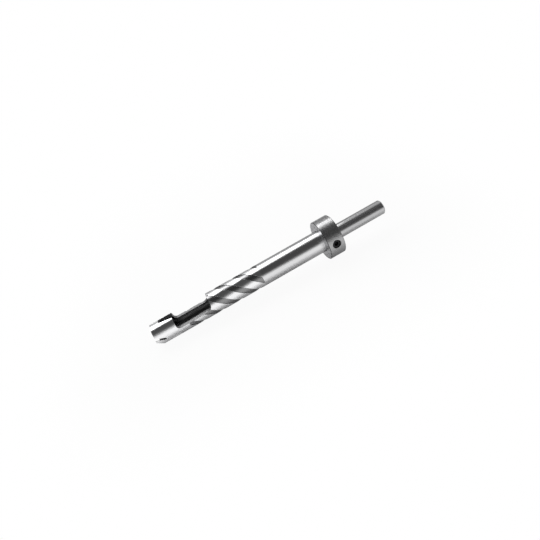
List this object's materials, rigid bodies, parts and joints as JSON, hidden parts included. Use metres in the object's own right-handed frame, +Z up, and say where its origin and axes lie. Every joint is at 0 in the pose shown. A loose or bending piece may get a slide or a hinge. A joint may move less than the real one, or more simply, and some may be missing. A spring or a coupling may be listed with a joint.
{
  "type": "plug cutter",
  "caption": "Hollow steel plug cutter with a toothed rim, a side window, chip flutes and a round shank, and a sliding stop collar locked by a socket set screw.",
  "frame": {"origin": "on the surface that the cutter lies on, under the middle of the object's box", "axes": "+X along the cutter from its rim towards its shank, level with the surface, +Y across, +Z up; the cutter's own axis rises towards the shank because the collar is wider than the rim"},
  "size_m": [0.1632, 0.026, 0.0265],
  "materials": {
    "ground_steel": "ground and lightly polished bright steel",
    "satin_steel": "turned steel with a satin finish",
    "black_steel": "blackened alloy steel"
  },
  "bodies": {
    "cutter": {"cutter_body": "ground_steel"},
    "collar": {"stop_collar": "satin_steel"},
    "screw": {"set_screw": "black_steel"}
  },
  "joints": [
    {"name": "collar_slide", "type": "slide", "parent": "cutter", "child": "collar", "axis": [-0.9988, 0, -0.05], "range_m": [0, 0.0414]},
    {"name": "set_screw_turn", "type": "hinge", "parent": "collar", "child": "screw", "pos_m": [0.04105, -0.00959, 0.01478], "axis": [-0.008, -0.9872, 0.159], "range_deg": [0, 270]}
  ]
}
